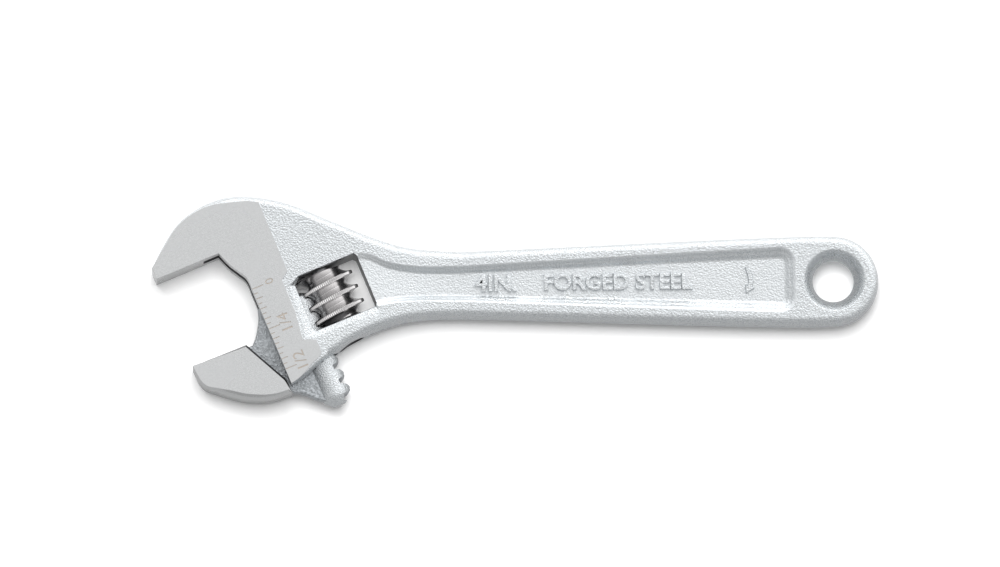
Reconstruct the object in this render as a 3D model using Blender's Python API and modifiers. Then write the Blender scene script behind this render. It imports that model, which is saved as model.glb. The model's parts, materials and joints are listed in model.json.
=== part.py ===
"""Adjustable wrench: a forged body with the fixed jaw, a sliding jaw, and the worm that drives its rack.

The wrench lies flat. +X runs along the handle to the hanging hole, +Y is the fixed jaw's side, +Z is up, and
z = 0 is the head's underside. The head is turned by HEAD_ANGLE, and its features are given as (v, u):
v runs from the jaws' tips towards the handle, and u from the fixed jaw's face in the direction of opening.
The sliding jaw is drawn wide open, and (v, w) gives its features, with w counted from its own face.
"""

import math

import bmesh
import bpy
from mathutils import Matrix, Vector

MM = 0.001

# Overall sizes
HEAD_THICK = 8.7 * MM
HANDLE_THICK = 6.0 * MM
HEAD_ANGLE = math.radians(22.0)
TIP_X = -16.2 * MM
TIP_Y = 1.0 * MM
OPENING = 13.8 * MM
CLOSED_GAP = 0.1 * MM
TRAVEL = OPENING - CLOSED_GAP
MID = HEAD_THICK / 2
EDGE = 0.45 * MM

# Handle
NECK_X = 28.0 * MM
NECK_HALF = 4.95 * MM
HOLE_X = 83.25 * MM
RING_R = 6.65 * MM
HOLE_R = 3.2 * MM
HOLE_RIM_R = 4.4 * MM
RAIL = 2.3 * MM
RECESS_END = HOLE_X - 6.2 * MM
RECESS_WEB = 3.2 * MM
RECESS_LEAD = 0.7 * MM
TAPER_START = 13.0 * MM

# Jaws
THROAT_V = 12.3 * MM
TIP_HEIGHT = 1.9 * MM
CHIN_U = OPENING + 7.95 * MM
JAW_TIP_HEIGHT = 3.4 * MM
WEB_THICK = 3.0 * MM
WEB_CREST_W = -4.4 * MM
SLIDE_GAP = 0.2 * MM
LIP_GAP = 0.35 * MM

# Worm and the rack that it drives
PITCH = 2.25 * MM
WORM_R = 4.25 * MM
WORM_ROOT_R = 2.65 * MM
WORM_LENGTH = 7.5 * MM
WORM_TOP = 8.15 * MM
CREST_HALF = 0.28 * MM
THREAD_BASE_HALF = 0.78 * MM
THREAD_GAP = 0.13 * MM
THREAD_PHASE = 1.02 * MM
KEY_V = 17.5 * MM
KEY_R = 2.4 * MM
RACK_ROOT_GAP = 0.3 * MM
WORM_V = KEY_V + KEY_R + RACK_ROOT_GAP + WORM_ROOT_R
KEY_TOP = WORM_TOP + 2.0 * MM
KEY_POINT = 1.0 * MM
KEY_END = 13.3 * MM
KEY_END_CHAMFER = 0.9 * MM

# Window round the worm
WINDOW_LEFT = WORM_V - WORM_R - 0.25 * MM
WINDOW_RIGHT = WORM_V + WORM_R + 1.35 * MM
WINDOW_TOP = WORM_TOP - 0.5 * MM
WINDOW_BOTTOM = WORM_TOP + WORM_LENGTH + 0.3 * MM
WINDOW_CORNER = 0.7 * MM

# Bore for the key, and the crown of metal over its end
BORE_R = KEY_R + SLIDE_GAP
BORE_EDGE = KEY_TOP - TRAVEL - 0.3 * MM
BORE_WALL = 1.3 * MM
CROWN = (KEY_POINT + BORE_WALL - BORE_EDGE) * 1.26
SLOT_RUNOUT_R = 8.1 * MM
SLOT_WIDTH = WEB_THICK + 2 * SLIDE_GAP

# Worm pin and spring
PIN_R = 1.3 * MM
PIN_FIT = 0.15 * MM
PIN_BLIND = 3.0 * MM
PIN_HEAD_R = 1.9 * MM
PIN_HEAD_LENGTH = 1.1 * MM
PIN_HEAD_U = WINDOW_BOTTOM + 3.1 * MM
DRIVER_SLOT = 0.45 * MM
SPRING_WIRE_R = 0.2 * MM
SPRING_R = PIN_R + 0.25 * MM + SPRING_WIRE_R
SPRING_TURNS = 4
COUNTERBORE_R = SPRING_R + SPRING_WIRE_R + 0.25 * MM
COUNTERBORE_DEPTH = 2.4 * MM

CURVE_STEPS = 5
ROUND_STEPS = 28
THREAD_STEPS = 28
HALF_STEP = math.pi / THREAD_STEPS
WELD = 1e-6
PAST = 1 * MM  # how far a cutter runs on past the metal that it cuts
SIDE_REACH = 40 * MM  # more than the body reaches to either side of the XZ plane

SMOOTH = 'AUTO'
SHARP = 'VECTOR'

HEAD_PLANE = Matrix.Translation((TIP_X, TIP_Y, 0)) @ Matrix.Rotation(HEAD_ANGLE, 4, 'Z')


def head(v, u):
    """A head feature's place on the XY plane."""
    place = HEAD_PLANE @ Vector((v, -u, 0))
    return place.x, place.y


def opening_axis(v, u):
    """The frame of a turned head piece: Z runs in the direction of opening, X towards the handle, Y up."""
    turn = Matrix(((1, 0, 0), (0, 0, -1), (0, 1, 0))).to_4x4()
    return HEAD_PLANE @ Matrix.Translation((v, -u, MID)) @ turn


def collection(name):
    made = bpy.data.collections.new(name)
    bpy.context.scene.collection.children.link(made)
    return made


def material(name, colour, roughness):
    made = bpy.data.materials.new(name)
    made.use_nodes = True
    shader = made.node_tree.nodes["Principled BSDF"]
    shader.inputs["Base Color"].default_value = (*colour, 1.0)
    shader.inputs["Metallic"].default_value = 1.0
    shader.inputs["Roughness"].default_value = roughness
    made.diffuse_color = (*colour, 1.0)
    return made


def add(name, mesh, frame, home=None):
    """A new object of the mesh: a piece in the collection named, or a cutter."""
    made = bpy.data.objects.new(name, mesh)
    made.matrix_world = frame
    (home or CUTTERS).objects.link(made)
    if home is None:
        made.hide_render = True
        made.display_type = 'WIRE'
    return made


def flat(name, points, low, high, frame, home=None):
    """The outline through (x, y, handle) points, filled and extruded from low to high along the frame's Z."""
    curve = bpy.data.curves.new(name, 'CURVE')
    curve.dimensions = '2D'
    curve.fill_mode = 'BOTH'
    curve.resolution_u = CURVE_STEPS
    curve.extrude = (high - low) / 2
    spline = curve.splines.new('BEZIER')
    spline.bezier_points.add(len(points) - 1)
    spline.use_cyclic_u = True
    for knot, (x, y, handle) in zip(spline.bezier_points, points):
        knot.co = (x, y, 0)
        knot.handle_left_type = handle
        knot.handle_right_type = handle
    drawn = bpy.data.objects.new(name + "_outline", curve)
    bpy.context.scene.collection.objects.link(drawn)
    bpy.context.view_layer.update()
    mesh = bpy.data.meshes.new_from_object(drawn.evaluated_get(bpy.context.evaluated_depsgraph_get()))
    bpy.data.objects.remove(drawn)
    tidy = bmesh.new()
    tidy.from_mesh(mesh)
    bmesh.ops.translate(tidy, verts=tidy.verts, vec=(0, 0, (low + high) / 2))
    bmesh.ops.remove_doubles(tidy, verts=tidy.verts, dist=WELD)
    bmesh.ops.dissolve_limit(tidy, angle_limit=math.radians(0.1), verts=tidy.verts, edges=tidy.edges)
    bmesh.ops.recalc_face_normals(tidy, faces=tidy.faces)
    tidy.to_mesh(mesh)
    tidy.free()
    mesh.name = name
    return add(name, mesh, frame, home)


def turned(name, profile, frame, home=None):
    """The solid turned from a profile of (radius, z) points that starts and ends on the axis."""
    mesh = bpy.data.meshes.new(name)
    drawn = bmesh.new()
    points = sorted_down(profile)
    corners = [drawn.verts.new((radius, 0, z)) for radius, z in points]
    for first, second in zip(corners, corners[1:]):
        drawn.edges.new((first, second))
    drawn.to_mesh(mesh)
    drawn.free()
    made = add(name, mesh, frame, home)
    screw = made.modifiers.new("turn", 'SCREW')
    screw.axis = 'Z'
    screw.steps = ROUND_STEPS
    screw.render_steps = ROUND_STEPS
    screw.use_merge_vertices = True
    screw.merge_threshold = 1e-5
    return made


def sorted_down(profile):
    """The profile in the order from its top to its bottom."""
    return profile if profile[0][1] > profile[-1][1] else profile[::-1]


def thread(name, base_radius, base_half, crest_radius, crest_half, first, turns, frame, home=None):
    """A right-handed helical ridge about the frame's Z, whose profile starts at z = first on the frame's X."""
    mesh = bpy.data.meshes.new(name)
    ridge = bmesh.new()
    sides = (
        (base_radius, -base_half),
        (crest_radius, -crest_half),
        (crest_radius, crest_half),
        (base_radius, base_half),
    )
    corners = [ridge.verts.new((radius, 0, first + z)) for radius, z in sides]
    face = ridge.faces.new(corners)
    bmesh.ops.spin(
        ridge,
        geom=[*corners, *face.edges, face],
        cent=(0, 0, 0),
        axis=(0, 0, 1),
        dvec=(0, 0, PITCH / THREAD_STEPS),
        angle=math.tau * turns,
        steps=THREAD_STEPS * turns,
        use_duplicate=False,
    )
    bmesh.ops.rotate(ridge, verts=ridge.verts, matrix=Matrix.Rotation(HALF_STEP, 3, 'Z'))
    bmesh.ops.translate(ridge, verts=ridge.verts, vec=(0, 0, PITCH * HALF_STEP / math.tau))
    bmesh.ops.triangulate(ridge, faces=ridge.faces)
    bmesh.ops.recalc_face_normals(ridge, faces=ridge.faces)
    ridge.to_mesh(mesh)
    ridge.free()
    return add(name, mesh, frame, home)


def combine(piece, operation, other):
    step = piece.modifiers.new(other.name, 'BOOLEAN')
    step.operation = operation
    step.object = other


def soften(piece, width, segments=2):
    bevel = piece.modifiers.new("edges", 'BEVEL')
    bevel.width = width
    bevel.segments = segments
    bevel.limit_method = 'ANGLE'
    bevel.angle_limit = math.radians(40)


def smooth(piece, angle=35):
    """Smooth shading, sharp where the faces of the piece's own mesh turn by more than the angle."""
    piece.data.shade_smooth()
    piece.data.set_sharp_from_angle(angle=math.radians(angle))


def handle_half(x):
    """Half the handle's width at x, which grows evenly from the neck to the ring."""
    return NECK_HALF + (RING_R - NECK_HALF) * (x - NECK_X) / (HOLE_X - NECK_X)


def side_view():
    """The frame of an outline drawn in X and Z and extruded along Y."""
    return Matrix.Rotation(math.radians(90), 4, 'X')


# Body -----------------------------------------------------------------------------------------------------------


def crown_points():
    """The back of the fixed jaw, from its tip to the handle's side of the bore."""
    back = (
        (0.22 * THROAT_V, 0.545),
        (0.46 * THROAT_V, 0.813),
        (0.71 * THROAT_V, 0.952),
        (0.95 * THROAT_V, 1.0),
        (KEY_V - 2.8 * MM, 0.95),
        (KEY_V + 0.2 * MM, 0.79),
        (KEY_V + KEY_R + 1.8 * MM, 0.465),
    )
    return [(*head(v, -share * CROWN), SMOOTH) for v, share in back]


def ring_points():
    return [
        (HOLE_X + RING_R * math.cos(turn), RING_R * math.sin(turn), SMOOTH)
        for turn in (math.radians(90 - 30 * step) for step in range(7))
    ]


def body_outline():
    shoulder_x = NECK_X - 11.4 * MM
    throat = (
        (0.995 * THROAT_V, 4.95 * MM),
        (0.935 * THROAT_V, 3.55 * MM),
        (0.87 * THROAT_V, 2.15 * MM),
    )
    chin = (
        (KEY_V - 2.0 * MM, CHIN_U - 0.5 * MM),
        (KEY_V + 0.5 * MM, CHIN_U - 1.35 * MM),
        (KEY_V + KEY_R + 0.7 * MM, CHIN_U - 1.75 * MM),
        (WORM_V, PIN_HEAD_U + 0.45 * MM),
    )
    return [
        (*head(0, 0), SHARP),
        (*head(0, -TIP_HEIGHT), SHARP),
        *crown_points(),
        (NECK_X - 18.4 * MM, NECK_HALF + 4.7 * MM, SMOOTH),
        (shoulder_x, NECK_HALF + 1.85 * MM, SMOOTH),
        (NECK_X - 7.4 * MM, NECK_HALF + 0.7 * MM, SMOOTH),
        (NECK_X, NECK_HALF, SHARP),
        *ring_points(),
        (NECK_X, -NECK_HALF, SHARP),
        (NECK_X - 5.0 * MM, -NECK_HALF - 0.15 * MM, SMOOTH),
        (NECK_X - 9.6 * MM, -NECK_HALF - 1.0 * MM, SMOOTH),
        *((*head(v, u), SMOOTH) for v, u in reversed(chin)),
        (*head(THROAT_V + 1.1 * MM, CHIN_U), SMOOTH),
        (*head(THROAT_V, CHIN_U), SHARP),
        (*head(THROAT_V, 7.0 * MM), SHARP),
        *((*head(v, u), SMOOTH) for v, u in throat),
        (*head(0.8 * THROAT_V, 0), SHARP),
    ]


def side_profile():
    """The body from the side: the full head, and a slope on both faces down to the handle."""
    left = TIP_X - 5 * PAST
    right = HOLE_X + RING_R + 5 * PAST
    drop = (HEAD_THICK - HANDLE_THICK) / 2
    corners = (
        (left, 0),
        (TAPER_START, 0),
        (NECK_X, drop),
        (right, drop),
        (right, HEAD_THICK - drop),
        (NECK_X, HEAD_THICK - drop),
        (TAPER_START, HEAD_THICK),
        (left, HEAD_THICK),
    )
    points = [(x, z, SHARP) for x, z in corners]
    return flat("body_side_profile", points, -SIDE_REACH, SIDE_REACH, side_view())


def recess_outline():
    """The hollow of the handle's I-section, which opens out to the window's handle-side wall."""
    overlap = 0.6 * MM
    corner = 1.3 * MM
    end_half = handle_half(RECESS_END) - RAIL
    neck_half = NECK_HALF - RAIL
    return [
        (*head(WINDOW_RIGHT - overlap, WINDOW_TOP + 0.3 * MM), SHARP),
        (NECK_X - 10.0 * MM, neck_half + 0.45 * MM, SMOOTH),
        (NECK_X - 2.0 * MM, neck_half, SHARP),
        (RECESS_END - corner, end_half, SHARP),
        (RECESS_END, end_half - corner, SHARP),
        (RECESS_END, corner - end_half, SHARP),
        (RECESS_END - corner, -end_half, SHARP),
        (NECK_X - 2.0 * MM, -neck_half, SHARP),
        (*head(WINDOW_RIGHT - overlap, WINDOW_BOTTOM - 0.3 * MM), SHARP),
    ]


def recess_cutter():
    floor = MID + RECESS_WEB / 2
    top = HEAD_THICK + 2 * PAST
    start = head(WINDOW_RIGHT, WINDOW_TOP)[0] - 3 * MM
    corners = (
        (start, HEAD_THICK - RECESS_LEAD),
        (TAPER_START + 3 * MM, HEAD_THICK - RECESS_LEAD),
        (NECK_X + 2 * MM, floor),
        (RECESS_END + 5 * MM, floor),
        (RECESS_END + 5 * MM, top),
        (start, top),
    )
    points = [(x, z, SHARP) for x, z in corners]
    profile = flat("recess_side_profile", points, -SIDE_REACH, SIDE_REACH, side_view())
    made = flat("recess_cutter", recess_outline(), 0, HEAD_THICK, Matrix.Translation((0, 0, MID)))
    combine(made, 'INTERSECT', profile)
    mirror = made.modifiers.new("other_face", 'MIRROR')
    mirror.use_axis = (False, False, True)
    mirror.use_mirror_merge = False
    return made


def window_cutter():
    r = WINDOW_CORNER
    corners = (
        (WINDOW_LEFT, WINDOW_TOP + r),
        (WINDOW_LEFT + r, WINDOW_TOP),
        (WINDOW_RIGHT - r, WINDOW_TOP),
        (WINDOW_RIGHT, WINDOW_TOP + r),
        (WINDOW_RIGHT, WINDOW_BOTTOM - r),
        (WINDOW_RIGHT - r, WINDOW_BOTTOM),
        (WINDOW_LEFT + r, WINDOW_BOTTOM),
        (WINDOW_LEFT, WINDOW_BOTTOM - r),
    )
    points = [(v, -u, SHARP) for v, u in corners]
    return flat("window_cutter", points, -2 * PAST, HEAD_THICK + 2 * PAST, HEAD_PLANE)


def slot_cutter():
    """The slot for the sliding jaw's web, with the round run-out of a slotting saw at its end."""
    end = OPENING + WEB_CREST_W - TRAVEL - 0.6 * MM
    centre_v = KEY_V - KEY_R
    centre_u = end + SLOT_RUNOUT_R
    below = CHIN_U + 4 * PAST
    steps = 8
    arc = [
        (centre_v - SLOT_RUNOUT_R * math.sin(turn), centre_u - SLOT_RUNOUT_R * math.cos(turn))
        for turn in (math.radians(90) * step / steps for step in range(steps + 1))
    ]
    corners = [(KEY_V, below), (KEY_V, end), *arc, (arc[-1][0], below)]
    points = [(v, -u, SHARP) for v, u in corners]
    return flat("slot_cutter", points, MID - SLOT_WIDTH / 2, MID + SLOT_WIDTH / 2, HEAD_PLANE)


def bore_cutter():
    profile = (
        (0, BORE_EDGE - KEY_POINT),
        (BORE_R, BORE_EDGE),
        (BORE_R, CHIN_U + 4 * PAST),
        (0, CHIN_U + 4 * PAST),
    )
    return turned("bore_cutter", profile, opening_axis(KEY_V, 0))


def pin_hole_cutter():
    hole = PIN_R + PIN_FIT
    head_hole = PIN_HEAD_R + PIN_FIT
    seat = PIN_HEAD_U - PIN_HEAD_LENGTH - PIN_FIT
    profile = (
        (0, WINDOW_TOP - PIN_BLIND - PIN_FIT),
        (hole, WINDOW_TOP - PIN_BLIND - PIN_FIT),
        (hole, seat),
        (head_hole, seat),
        (head_hole, PIN_HEAD_U + 4 * PAST),
        (0, PIN_HEAD_U + 4 * PAST),
    )
    return turned("pin_hole_cutter", profile, opening_axis(WORM_V, 0))


def hang_hole_cutter():
    low = MID - HANDLE_THICK / 2
    high = MID + HANDLE_THICK / 2
    flare = HOLE_RIM_R - HOLE_R
    profile = (
        (0, low - PAST),
        (HOLE_RIM_R + PAST, low - PAST),
        (HOLE_R, low + flare),
        (HOLE_R, high - flare),
        (HOLE_RIM_R + PAST, high + PAST),
        (0, high + PAST),
    )
    return turned("hang_hole_cutter", profile, Matrix.Translation((HOLE_X, 0, 0)))


def body():
    made = flat("body", body_outline(), -PAST, HEAD_THICK + PAST, Matrix.Identity(4), WRENCH)
    combine(made, 'INTERSECT', side_profile())
    soften(made, EDGE)
    combine(made, 'DIFFERENCE', recess_cutter())
    combine(made, 'DIFFERENCE', window_cutter())
    combine(made, 'DIFFERENCE', slot_cutter())
    combine(made, 'DIFFERENCE', bore_cutter())
    combine(made, 'DIFFERENCE', pin_hole_cutter())
    combine(made, 'DIFFERENCE', hang_hole_cutter())
    made.data.materials.append(material("forged_chrome", (0.72, 0.73, 0.75), 0.32))
    return made


# Sliding jaw ----------------------------------------------------------------------------------------------------


def jaw_frame():
    """The head's plane, moved so that its Y = -w is counted from the sliding jaw's face."""
    return HEAD_PLANE @ Matrix.Translation((0, -OPENING, 0))


def nose_outline():
    side = THROAT_V - LIP_GAP
    under = (
        (0.05 * THROAT_V, JAW_TIP_HEIGHT),
        (0.14 * THROAT_V, JAW_TIP_HEIGHT + 1.2 * MM),
        (0.3 * THROAT_V, JAW_TIP_HEIGHT + 3.0 * MM),
        (0.5 * THROAT_V, JAW_TIP_HEIGHT + 4.5 * MM),
        (0.73 * THROAT_V, JAW_TIP_HEIGHT + 5.5 * MM),
    )
    return [
        (0, 0, SHARP),
        (0.66 * THROAT_V, 0, SHARP),
        (side, -6.7 * MM, SHARP),
        (side, -JAW_TIP_HEIGHT - 5.9 * MM, SHARP),
        *((v, -w, SMOOTH) for v, w in reversed(under)),
        (0, -JAW_TIP_HEIGHT + 1.2 * MM, SHARP),
    ]


def web_outline():
    """The thin plate from the nose to the key, with the hollow that matches the throat."""
    inside = 0.5 * THROAT_V
    hollow = (
        (0.82 * THROAT_V, -0.3 * MM),
        (0.92 * THROAT_V, -2.1 * MM),
    )
    key_v = KEY_V - 0.9 * MM
    lower = (
        (key_v, KEY_END - 0.9 * MM),
        (KEY_V - 2.8 * MM, KEY_END - 2.55 * MM),
        (THROAT_V + 0.7 * MM, KEY_END - 3.8 * MM),
    )
    return [
        (inside, -0.25 * MM, SHARP),
        (0.77 * THROAT_V, -0.25 * MM, SHARP),
        *((v, -w, SMOOTH) for v, w in hollow),
        (THROAT_V, -WEB_CREST_W, SHARP),
        (key_v, KEY_POINT - (KEY_TOP - OPENING) - 0.7 * MM, SHARP),
        *((v, -w, SHARP) for v, w in lower),
        (inside, -JAW_TIP_HEIGHT - 3.0 * MM, SHARP),
    ]


def key_blank():
    """The round key that slides in the body's bore, in the frame of the sliding jaw's face."""
    top = KEY_TOP - OPENING
    profile = (
        (0, top - KEY_POINT),
        (KEY_R, top),
        (KEY_R, KEY_END - KEY_END_CHAMFER),
        (KEY_R - KEY_END_CHAMFER, KEY_END),
        (0, KEY_END),
    )
    return turned("key_blank", profile, opening_axis(KEY_V, OPENING))


def rack_cutter():
    """A thread like the worm's, larger by the running gap and as long as the key."""
    turns = math.ceil((OPENING + KEY_END - KEY_TOP) / PITCH) + 3
    first = THREAD_PHASE - 2 * PITCH
    return thread(
        "rack_cutter",
        WORM_ROOT_R - THREAD_GAP,
        THREAD_BASE_HALF + THREAD_GAP,
        WORM_R + THREAD_GAP,
        CREST_HALF + THREAD_GAP,
        first,
        turns,
        opening_axis(WORM_V, WORM_TOP),
    )


def movable_jaw():
    made = flat("movable_jaw", nose_outline(), 0, HEAD_THICK, jaw_frame(), WRENCH)
    soften(made, EDGE)
    web = flat("jaw_web", web_outline(), MID - WEB_THICK / 2, MID + WEB_THICK / 2, jaw_frame())
    combine(made, 'UNION', web)
    combine(made, 'UNION', key_blank())
    combine(made, 'DIFFERENCE', rack_cutter())
    made.data.materials.append(material("jaw_chrome", (0.74, 0.75, 0.77), 0.3))
    return made


# Worm, pin and spring -------------------------------------------------------------------------------------------


def adjusting_worm():
    """The knurl: a single right-handed thread on a core, bored for its pin and counterbored for the spring."""
    frame = opening_axis(WORM_V, WORM_TOP)
    turns = math.ceil(WORM_LENGTH / PITCH) + 2
    made = thread(
        "adjusting_worm",
        WORM_ROOT_R - 0.3 * MM,
        THREAD_BASE_HALF + 0.12 * MM,
        WORM_R,
        CREST_HALF,
        THREAD_PHASE - PITCH,
        turns,
        frame,
        WRENCH,
    )
    core = turned("worm_core", cylinder_profile(WORM_ROOT_R, -PITCH, WORM_LENGTH + PITCH), frame)
    blank = turned("worm_blank", cylinder_profile(WORM_R + PAST, 0, WORM_LENGTH), frame)
    bore = turned("worm_bore", worm_bore_profile(), frame)
    combine(made, 'UNION', core)
    combine(made, 'INTERSECT', blank)
    combine(made, 'DIFFERENCE', bore)
    made.data.materials.append(material("worm_chrome", (0.55, 0.53, 0.52), 0.22))
    return made


def cylinder_profile(radius, low, high):
    return ((0, low), (radius, low), (radius, high), (0, high))


def worm_bore_profile():
    return (
        (0, -PAST),
        (COUNTERBORE_R, -PAST),
        (COUNTERBORE_R, COUNTERBORE_DEPTH),
        (PIN_R + PIN_FIT, COUNTERBORE_DEPTH),
        (PIN_R + PIN_FIT, WORM_LENGTH + PAST),
        (0, WORM_LENGTH + PAST),
    )


def worm_pin():
    """The slotted screw that holds the worm, put in from under the head."""
    shank = WINDOW_TOP - PIN_BLIND
    chamfer = 0.3 * MM
    profile = (
        (0, shank),
        (PIN_R - chamfer, shank),
        (PIN_R, shank + chamfer),
        (PIN_R, PIN_HEAD_U - PIN_HEAD_LENGTH),
        (PIN_HEAD_R, PIN_HEAD_U - PIN_HEAD_LENGTH),
        (PIN_HEAD_R, PIN_HEAD_U),
        (0, PIN_HEAD_U),
    )
    made = turned("worm_pin", profile, opening_axis(WORM_V, 0), WRENCH)
    bpy.ops.mesh.primitive_cube_add(size=1)
    slot = bpy.context.active_object
    slot.name = "driver_slot_cutter"
    slot.data.transform(Matrix.Diagonal((PIN_HEAD_R * 3, DRIVER_SLOT, DRIVER_SLOT * 2, 1)))
    slot.matrix_world = opening_axis(WORM_V, PIN_HEAD_U)
    for home in slot.users_collection:
        home.objects.unlink(slot)
    CUTTERS.objects.link(slot)
    slot.hide_render = True
    slot.display_type = 'WIRE'
    combine(made, 'DIFFERENCE', slot)
    made.data.materials.append(material("pin_steel", (0.5, 0.5, 0.51), 0.35))
    return made


def worm_spring():
    """The small coil spring that takes up the worm's end play."""
    low = WINDOW_TOP + 0.15 * MM + SPRING_WIRE_R
    high = WORM_TOP + COUNTERBORE_DEPTH - 0.15 * MM - SPRING_WIRE_R
    steps = 14
    count = SPRING_TURNS * steps + 1
    curve = bpy.data.curves.new("worm_spring", 'CURVE')
    curve.dimensions = '3D'
    curve.bevel_depth = SPRING_WIRE_R
    curve.bevel_resolution = 2
    curve.use_fill_caps = True
    spline = curve.splines.new('POLY')
    spline.points.add(count - 1)
    for index, point in enumerate(spline.points):
        turn = math.tau * index / steps
        rise = (high - low) * index / (count - 1)
        point.co = (SPRING_R * math.cos(turn), SPRING_R * math.sin(turn), rise, 1)
    made = bpy.data.objects.new("worm_spring", curve)
    made.matrix_world = opening_axis(WORM_V, low)
    WRENCH.objects.link(made)
    curve.materials.append(material("spring_steel", (0.42, 0.42, 0.43), 0.3))
    return made


for old in list(bpy.data.objects):
    bpy.data.objects.remove(old)

WRENCH = collection("adjustable_wrench")
CUTTERS = collection("cutters")

for piece in (body(), movable_jaw(), adjusting_worm(), worm_pin()):
    smooth(piece)
worm_spring()
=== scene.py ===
"""The looks of an adjustable wrench: forged chrome, ground head faces, a serrated worm and its rack."""

import json
import math

import bmesh
import bpy
from mathutils import Matrix, Vector


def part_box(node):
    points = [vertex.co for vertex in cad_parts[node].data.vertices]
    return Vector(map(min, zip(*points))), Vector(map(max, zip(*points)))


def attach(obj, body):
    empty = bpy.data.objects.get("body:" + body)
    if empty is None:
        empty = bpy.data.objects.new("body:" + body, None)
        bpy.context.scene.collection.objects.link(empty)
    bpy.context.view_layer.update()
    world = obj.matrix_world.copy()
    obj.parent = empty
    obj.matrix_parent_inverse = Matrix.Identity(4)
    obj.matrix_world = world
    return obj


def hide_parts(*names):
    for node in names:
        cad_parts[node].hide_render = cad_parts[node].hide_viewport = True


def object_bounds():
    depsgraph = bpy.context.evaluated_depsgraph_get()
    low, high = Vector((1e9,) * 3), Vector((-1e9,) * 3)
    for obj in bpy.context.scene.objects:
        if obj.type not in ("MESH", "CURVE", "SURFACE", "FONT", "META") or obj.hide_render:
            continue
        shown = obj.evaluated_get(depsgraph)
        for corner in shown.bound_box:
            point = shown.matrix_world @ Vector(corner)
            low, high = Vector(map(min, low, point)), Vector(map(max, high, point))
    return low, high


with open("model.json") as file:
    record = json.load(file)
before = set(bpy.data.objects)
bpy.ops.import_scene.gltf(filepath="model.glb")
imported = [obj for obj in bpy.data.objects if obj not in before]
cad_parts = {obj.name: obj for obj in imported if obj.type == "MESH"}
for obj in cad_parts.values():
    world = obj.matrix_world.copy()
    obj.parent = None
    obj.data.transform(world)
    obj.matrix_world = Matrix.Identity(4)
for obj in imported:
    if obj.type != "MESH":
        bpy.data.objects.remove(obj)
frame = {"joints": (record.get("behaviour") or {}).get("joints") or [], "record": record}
CAD_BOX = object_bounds()
CAD_BOX_LOW, CAD_BOX_HIGH = (Vector(corner) for corner in CAD_BOX)

MM = 0.001

# The frame's own sizes ----------------------------------------------------------------------------

RECORD = frame["record"]
JOINTS = {joint["name"]: joint for joint in frame["joints"]}
MOUNTS = {mount["name"]: mount for mount in RECORD["mounts"]}
OPENINGS = {opening["name"]: opening["box_m"] for opening in RECORD["physics"]["openings"]}

OPEN_DIR = Vector(JOINTS["worm_turn"]["axis"])
HEAD_ANGLE = math.atan2(OPEN_DIR.x, -OPEN_DIR.y)
HEAD_TURN = Matrix.Rotation(HEAD_ANGLE, 4, 'Z')
MOUNT_V = 4.0 * MM
FACE_POINT = Vector(MOUNTS["fixed_jaw_face"]["pos_m"])
MID = FACE_POINT.z
OPENING = (Vector(MOUNTS["movable_jaw_face"]["pos_m"]) - FACE_POINT).length
TIP = FACE_POINT - HEAD_TURN.to_3x3() @ Vector((MOUNT_V, 0, 0))
HEAD_PLANE = Matrix.Translation((TIP.x, TIP.y, MID)) @ HEAD_TURN
HALF = MOUNTS["upper_face"]["pos_m"][2] - MID

WORM_POINT = HEAD_PLANE.inverted() @ Vector(JOINTS["worm_turn"]["pos_m"])
WORM_V = WORM_POINT.x
PITCH = math.tau / abs(RECORD["behaviour"]["couplings"][0]["ratio"])
TRAVEL = -JOINTS["jaw_slide"]["range_m"][0]

HOLE_X = sum(corner[0] for corner in OPENINGS["hanging_hole"]) / 2
RING_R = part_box("body")[1].x - HOLE_X

# Sizes that the looks add -------------------------------------------------------------------------

# The head has its own directions, from the fixed jaw's tip: v runs along the jaw's face towards
# the handle, u in the direction of opening, and w is u counted from the movable jaw's face.

THROAT_V = 12.3 * MM
THROAT_CURVE = ((0.995, 4.95 * MM), (0.935, 3.55 * MM), (0.87, 2.15 * MM))  # (share of THROAT_V, u)
TIP_HEIGHT = 1.9 * MM
CHIN_U = OPENING + 7.95 * MM
CROWN = 7.76 * MM
NECK_X = 28.0 * MM
NECK_HALF = 4.95 * MM
HANDLE_HALF_THICK = 3.0 * MM
FORGED_HALF = HALF - 0.12 * MM
RECESS_FLOOR = 1.95 * MM
HOLE_R = 3.05 * MM
HOLE_RIM_R = 4.4 * MM
TAPER_START = 12.5 * MM
TAPER_END = 29.0 * MM
SLICE = 1.2 * MM
PAST_HEAD = 4 * MM

KEY_V = 17.9 * MM
KEY_R = 2.4 * MM
KEY_TOP = 10.15 * MM
KEY_POINT = 1.0 * MM
KEY_END_W = 13.3 * MM
WORM_R = 4.25 * MM
WORM_ROOT_R = 2.65 * MM
WORM_TOP = 8.15 * MM
WORM_LENGTH = 7.5 * MM
THREAD_PHASE = 1.35 * MM
THREAD_GAP = 0.13 * MM
CREST_HALF = 0.26 * MM
ROOT_HALF = 0.84 * MM
CREST_ROUND = 0.07 * MM
COUNTERBORE = 2.4 * MM
WEB_HALF = 1.5 * MM
WEB_RISE = 4.4 * MM
JAW_TIP_HEIGHT = 3.4 * MM
SLIDE_GAP = 0.2 * MM
LIP_GAP = 0.32 * MM

WINDOW_LEFT = 18.35 * MM
WINDOW_RIGHT = 28.45 * MM
WINDOW_TOP = 7.65 * MM
WINDOW_BOTTOM = 15.95 * MM

PIN_R = 1.3 * MM
PIN_FIT = 0.15 * MM
PIN_HEAD_R = 1.9 * MM
PIN_HEAD_LENGTH = 1.1 * MM
PIN_HEAD_U = WINDOW_BOTTOM + 3.1 * MM
PIN_END_U = WINDOW_TOP - 3.0 * MM

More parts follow.
